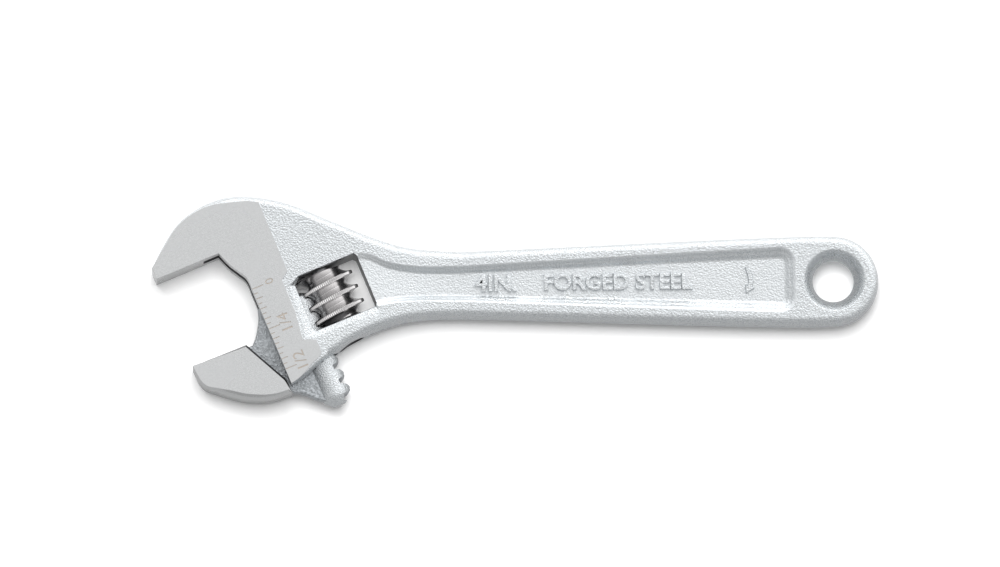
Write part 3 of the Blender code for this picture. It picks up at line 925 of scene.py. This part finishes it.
def movable_jaw():
    """The nose, web and key as one piece, with the rack that meshes with the worm."""
    made = jaw_nose()
    work(made, 'UNION', jaw_web())
    work(made, 'UNION', key_bar())
    turns = math.ceil((OPENING + KEY_END_W - KEY_TOP) / PITCH) + 3
    base = WORM_ROOT_R - THREAD_GAP - 0.4 * MM
    # The rack's and core's cut faces take the darker web colour: painted shade between the teeth.
    rack = ridge("rack_tool", THREAD_GAP, base, THREAD_PHASE - 2 * PITCH, turns, 96, WEB)
    work(made, 'DIFFERENCE', rack)
    radius = WORM_ROOT_R + THREAD_GAP
    low = KEY_TOP - PITCH
    high = OPENING + KEY_END_W + PITCH
    core = ((0, low), (radius, low), (radius, high), (0, high))
    place = opening_axis(WORM_V, 0, CORE_TOOL_START)
    work(made, 'DIFFERENCE', turned("core_tool", core, WEB, place))
    made.name = "sliding_jaw"
    ride_as(made, "jaw", "jaw", "movable_jaw")


# Worm, pin and spring -----------------------------------------------------------------------------


def worm():
    """The knurled worm: a serrated thread on its core, bored for the pin and the spring."""
    serrations = 84
    turns = math.ceil(WORM_LENGTH / PITCH) + 2
    first = THREAD_PHASE - PITCH
    depth = 0.12 * MM
    base = WORM_ROOT_R - 0.3 * MM
    made = ridge("worm", 0.0, base, first, turns, 2 * serrations, WORM_CHROME, depth)
    place = opening_axis(WORM_V, WORM_TOP, WORM_START)
    low, high = -PITCH, WORM_LENGTH + PITCH
    core = ((0, low), (WORM_ROOT_R, low), (WORM_ROOT_R, high), (0, high))
    chamfer = 0.25 * MM
    proud = 0.1 * MM
    blank = (
        (0, 0),
        (WORM_R - chamfer, 0),
        (WORM_R + proud, chamfer + proud),
        (WORM_R + proud, WORM_LENGTH - chamfer - proud),
        (WORM_R - chamfer, WORM_LENGTH),
        (0, WORM_LENGTH),
    )
    past = 1 * MM
    spring_hole = 2.2 * MM
    bore = (
        (0, -past),
        (spring_hole, -past),
        (spring_hole, COUNTERBORE),
        (PIN_R + PIN_FIT, COUNTERBORE),
        (PIN_R + PIN_FIT, WORM_LENGTH + past),
        (0, WORM_LENGTH + past),
    )
    work(made, 'UNION', turned("core", core, WORM_CHROME, place, 90))
    work(made, 'INTERSECT', turned("blank", blank, WORM_CHROME, place, 90))
    work(made, 'DIFFERENCE', turned("worm_bore", bore, WORM_CHROME, place))
    ride_as(made, "worm", "worm", "adjusting_worm")
    made.name = "knurled_worm"


def pin():
    """The slotted screw that the worm turns on."""
    chamfer = 0.25 * MM
    profile = (
        (0, PIN_END_U),
        (PIN_R - chamfer, PIN_END_U),
        (PIN_R, PIN_END_U + chamfer),
        (PIN_R, PIN_HEAD_U - PIN_HEAD_LENGTH),
        (PIN_HEAD_R, PIN_HEAD_U - PIN_HEAD_LENGTH),
        (PIN_HEAD_R, PIN_HEAD_U - 0.2 * MM),
        (PIN_HEAD_R - 0.2 * MM, PIN_HEAD_U - 0.04 * MM),
        (0, PIN_HEAD_U),
    )
    made = turned("slotted_pin", profile, STEEL, opening_axis(WORM_V, 0))
    mesh = bmesh.new()
    bmesh.ops.create_cube(mesh, size=1)
    bmesh.ops.scale(mesh, verts=mesh.verts, vec=(3 * PIN_HEAD_R, 0.45 * MM, 0.9 * MM))
    work(made, 'DIFFERENCE', piece_of(mesh, "screw_slot", STEEL, opening_axis(WORM_V, PIN_HEAD_U)))
    ride_as(made, "root", "pin", "worm_pin")


def spring():
    """The coil that takes up the worm's end play, in the worm's counterbore."""
    wire, radius, coils, steps = 0.2 * MM, 1.75 * MM, 4, 40
    gap = 0.15 * MM
    low = WINDOW_TOP + gap + wire
    high = WORM_TOP + COUNTERBORE - gap - wire
    mesh = bmesh.new()
    ring = bmesh.ops.create_circle(mesh, segments=12, radius=wire, cap_ends=True)["verts"]
    bmesh.ops.rotate(mesh, verts=ring, matrix=Matrix.Rotation(math.pi / 2, 3, 'X'))
    bmesh.ops.translate(mesh, verts=ring, vec=(radius, 0, 0))
    bmesh.ops.spin(
        mesh,
        geom=[*mesh.verts, *mesh.edges, *mesh.faces],
        cent=(0, 0, 0),
        axis=(0, 0, 1),
        dvec=(0, 0, (high - low) / (coils * steps)),
        angle=math.tau * coils,
        steps=coils * steps,
        use_duplicate=False,
    )
    bmesh.ops.recalc_face_normals(mesh, faces=mesh.faces)
    made = piece_of(mesh, "coil_spring", STEEL, opening_axis(WORM_V, low))
    ride_as(made, "root", "spring", "worm_spring")


# Finishes -----------------------------------------------------------------------------------------


def node(nodes, kind, **inputs):
    """A new shader node with some inputs set: From_Min sets the one named From Min."""
    made = nodes.new(kind)
    for name, value in inputs.items():
        made.inputs[name.replace("_", " ")].default_value = value
    return made


def grinding(nodes, link, place, under, strength, depth):
    """The normal of fine lines along v, over the grain's normal."""
    lines = node(nodes, "ShaderNodeMapping", Rotation=(0, 0, HEAD_ANGLE), Scale=(1.0, 0.03, 1.0))
    lines.vector_type = 'TEXTURE'
    link(place, lines.inputs["Vector"])
    scratch = node(nodes, "ShaderNodeTexNoise", Scale=1 / (3 * MM), Detail=4.0)
    link(lines.outputs["Vector"], scratch.inputs["Vector"])
    cut = node(nodes, "ShaderNodeBump", Strength=strength, Distance=depth)
    link(scratch.outputs["Fac"], cut.inputs["Height"])
    link(under, cut.inputs["Normal"])
    return cut.outputs["Normal"]


def metal(name, colour, roughness, grain, grain_size, grain_depth, streak=0.0, spread=0.05, pits=0.955):
    """Plated steel: a grain in its bump, darker pits, mottled gloss and, with streak, ground lines."""
    made = bpy.data.materials.new(name)
    made.use_nodes = True
    made.diffuse_color = (*colour, 1)
    nodes, link = made.node_tree.nodes, made.node_tree.links.new
    shader = nodes["Principled BSDF"]
    shader.inputs["Metallic"].default_value = 1.0
    place = node(nodes, "ShaderNodeTexCoord").outputs["Object"]

    fine = node(nodes, "ShaderNodeTexNoise", Scale=1 / grain_size, Detail=3.0)
    link(place, fine.inputs["Vector"])
    speck = node(nodes, "ShaderNodeMapRange", From_Min=0.34, From_Max=0.66)
    link(fine.outputs["Fac"], speck.inputs["Value"])

    broad = node(nodes, "ShaderNodeTexNoise", Scale=1 / (9 * MM), Detail=2.0)
    link(place, broad.inputs["Vector"])
    gloss = node(nodes, "ShaderNodeMapRange", To_Min=roughness - spread, To_Max=roughness + spread)
    link(broad.outputs["Fac"], gloss.inputs["Value"])
    link(gloss.outputs["Result"], shader.inputs["Roughness"])

    tint = node(nodes, "ShaderNodeMix")
    tint.data_type = 'RGBA'
    tint.inputs[6].default_value = (*(pits * part for part in colour), 1)
    tint.inputs[7].default_value = (*colour, 1)
    link(speck.outputs["Result"], tint.inputs[0])
    link(tint.outputs[2], shader.inputs["Base Color"])

    bump = node(nodes, "ShaderNodeBump", Strength=grain, Distance=grain_depth)
    link(speck.outputs["Result"], bump.inputs["Height"])
    normal = bump.outputs["Normal"]
    if streak:
        normal = grinding(nodes, link, place, normal, streak, grain_depth)
    link(normal, shader.inputs["Normal"])
    return made


def etch():
    """The dull brown of the rule's marks."""
    made = metal("etch", (0.54, 0.49, 0.44), 0.55, 0.3, 0.15 * MM, 0.01 * MM)
    made.node_tree.nodes["Principled BSDF"].inputs["Metallic"].default_value = 0.6
    return made


# Stage --------------------------------------------------------------------------------------------


# The room's brightness from the side away from the light to the side near it. A ramp holds no level
# over 1, so the levels are stored as shares of the top one.
ROOM = (
    (0.0, 0.46),
    (0.2, 0.52),
    (0.375, 0.66),
    (0.50, 0.77),
    (0.56, 0.84),
    (0.66, 1.05),
    (0.8, 1.5),
    (0.92, 1.8),
    (1.0, 2.2),
)
ROOM_TOP = 3


def floor():
    """A wide sheet of paper at z 0, outside the object's own box."""
    mesh = bmesh.new()
    bmesh.ops.create_grid(mesh, x_segments=1, y_segments=1, size=4)
    made = piece_of(mesh, "floor", paper())


def paper():
    """White paper. In the metal's reflections its colour is painted darker towards -Y: a painted shade on
    the reflected floor.
    """
    made = bpy.data.materials.new("white_floor")
    made.use_nodes = True
    nodes, link = made.node_tree.nodes, made.node_tree.links.new
    shader = nodes["Principled BSDF"]
    split = node(nodes, "ShaderNodeSeparateXYZ")
    link(node(nodes, "ShaderNodeTexCoord").outputs["Object"], split.inputs[0])
    # Painted shade: glossy rays see the paper darker towards -Y.
    low, high = -6 * MM, 14 * MM
    reflected_shade = node(nodes, "ShaderNodeMapRange", From_Min=low, From_Max=high, To_Min=0.38, To_Max=0.85)
    link(split.outputs["Y"], reflected_shade.inputs["Value"])
    seen = node(nodes, "ShaderNodeMapRange", To_Min=0.93)
    link(node(nodes, "ShaderNodeLightPath").outputs["Is Glossy Ray"], seen.inputs["Value"])
    link(reflected_shade.outputs["Result"], seen.inputs["To Max"])
    link(seen.outputs["Result"], shader.inputs["Base Color"])
    shader.inputs["Roughness"].default_value = 0.9
    shader.inputs["Specular IOR Level"].default_value = 0.0
    shader.inputs["Emission Color"].default_value = (1, 1, 1, 1)
    shader.inputs["Emission Strength"].default_value = 0.12
    return made


def studio():
    """A pale room, brightest towards +Y and grey towards -Y, that lights the floor only faintly."""
    world = bpy.data.worlds.new("studio")
    bpy.context.scene.world = world
    world.use_nodes = True
    nodes, link = world.node_tree.nodes, world.node_tree.links.new
    background = nodes["Background"]
    view = node(nodes, "ShaderNodeTexCoord").outputs["Generated"]

    toward = node(nodes, "ShaderNodeVectorMath")
    toward.operation = 'DOT_PRODUCT'
    toward.inputs[1].default_value = (0.3, 0.95, 0)
    link(view, toward.inputs[0])
    side = node(nodes, "ShaderNodeMapRange", From_Min=-1)
    link(toward.outputs["Value"], side.inputs["Value"])
    ramp = node(nodes, "ShaderNodeValToRGB")
    link(side.outputs["Result"], ramp.inputs["Fac"])
    stops = ramp.color_ramp.elements
    while len(stops) < len(ROOM):
        stops.new(0.5)
    for stop, (place, level) in zip(stops, ROOM):
        stop.position = place
        stop.color = (*[level / ROOM_TOP] * 3, 1)
    link(ramp.outputs["Color"], background.inputs["Color"])

    split = node(nodes, "ShaderNodeSeparateXYZ")
    link(view, split.inputs[0])
    height = node(nodes, "ShaderNodeMapRange", From_Min=-0.35, From_Max=0.5, To_Min=0.83, To_Max=1.12)
    link(split.outputs["Z"], height.inputs["Value"])
    strength = node(nodes, "ShaderNodeMath")
    strength.operation = 'MULTIPLY'
    link(height.outputs["Result"], strength.inputs[0])
    fill = node(nodes, "ShaderNodeMapRange", To_Min=ROOM_TOP * 0.98, To_Max=ROOM_TOP * 0.3)
    link(node(nodes, "ShaderNodeLightPath").outputs["Is Diffuse Ray"], fill.inputs["Value"])
    link(fill.outputs["Result"], strength.inputs[1])
    link(strength.outputs["Value"], background.inputs["Strength"])


def lamp(name, place, aim, size, watts):
    """A square lamp that lights the scene but isn't mirrored in the metal."""
    light = bpy.data.lights.new(name, 'AREA')
    light.shape = 'SQUARE'
    light.size = size
    light.energy = watts
    made = bpy.data.objects.new(name, light)
    made.location = place
    made.rotation_euler = (Vector(aim) - Vector(place)).to_track_quat('-Z', 'Y').to_euler()
    made.visible_glossy = False
    bpy.context.scene.collection.objects.link(made)


def photographer():
    """A long lens almost straight over the wrench, a little to the jaws' side and towards -Y."""
    scene = bpy.context.scene
    data = bpy.data.cameras.new("camera")
    made = bpy.data.objects.new("camera", data)
    scene.collection.objects.link(made)
    scene.camera = made
    box_middle = (CAD_BOX_LOW + CAD_BOX_HIGH) / 2
    aim = Vector((box_middle.x - 2.44 * MM, -0.17 * MM, MID + HALF))
    rise = 1408 * MM
    away = Vector((-0.0352, -0.104, 1)) * rise
    roll = math.radians(0.6)
    back = away.normalized()
    right = Vector((math.cos(roll), -math.sin(roll), 0))
    right = (right - back * right.dot(back)).normalized()
    up = back.cross(right)
    turn = Matrix((right, up, back)).transposed().to_4x4()
    made.matrix_world = Matrix.Translation(aim + away) @ turn
    width = 146.5 * MM
    data.sensor_width = 36
    data.lens = data.sensor_width * away.length / width


photographer()
FORGED = metal("forged_chrome", (0.745, 0.775, 0.795), 0.26, 1.0, 0.24 * MM, 0.055 * MM, pits=0.82)
RECESS = metal("recess_chrome", (0.79, 0.82, 0.84), 0.28, 1.0, 0.24 * MM, 0.042 * MM, pits=0.84)
# The web's darker colour is painted shade for the web sunk between the jaws and for the rack's cut teeth;
# its grain and roughness are its own.
WEB = metal("web_chrome_painted_shade", (0.56, 0.59, 0.615), 0.33, 1.0, 0.3 * MM, 0.06 * MM, pits=0.62)
GROUND = metal(
    "ground_chrome",
    (0.66, 0.67, 0.675),
    0.27,
    0.2,
    0.2 * MM,
    0.014 * MM,
    streak=0.9,
    spread=0.07,
    pits=0.93,
)
# Painted shade: a dark colour for the window's deep walls, in place of the shade inside the window.
WALL = metal("window_wall_painted_shade", (0.24, 0.245, 0.25), 0.4, 0.5, 0.25 * MM, 0.02 * MM)
# Painted shade: a near-black colour for the bores, the slot and the movable jaw's sides by the lip, in
# place of the shade in these deep gaps.
BORE = metal("painted_shade_bore", (0.12, 0.12, 0.125), 0.42, 0.5, 0.25 * MM, 0.02 * MM)
WORM_CHROME = metal("worm_chrome", (0.72, 0.71, 0.71), 0.24, 0.2, 0.2 * MM, 0.006 * MM, pits=0.9)
STEEL = metal("pin_steel", (0.5, 0.5, 0.51), 0.33, 0.25, 0.2 * MM, 0.01 * MM)
ETCH = etch()
wrench_body()
handle_marks()
movable_jaw()
worm()
pin()
spring()
floor()
studio()
lamp("key_light", (-0.03, 0.2, 1.3), (0.03, 0, 0), 0.55, 17)
bpy.context.scene.view_settings.view_transform = 'Standard'
